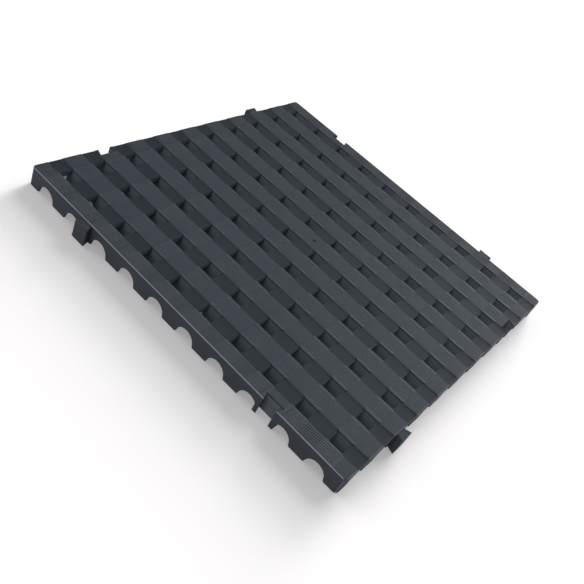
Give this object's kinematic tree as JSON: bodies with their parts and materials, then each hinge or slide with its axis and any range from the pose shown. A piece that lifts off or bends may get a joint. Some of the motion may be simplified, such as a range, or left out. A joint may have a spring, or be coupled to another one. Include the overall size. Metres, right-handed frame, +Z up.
{
  "type": "plastic floor tile",
  "caption": "Square interlocking plastic floor tile with raised ribbed slats, square drain holes, an arched skirt and dovetail tabs and sockets.",
  "frame": {"origin": "bottom centre of the tile, on the floor under the middle of its plan", "axes": "+Z up out of the walking surface; the slats run along Y; seen from above, each side has its socket first and its tab second going clockwise"},
  "size_m": [0.5184, 0.5184, 0.025],
  "materials": {
    "moulded_plastic": "satin charcoal polypropylene with fine anti-slip ribs"
  },
  "bodies": {
    "root": {"floor_tile": "moulded_plastic"}
  },
  "joints": []
}
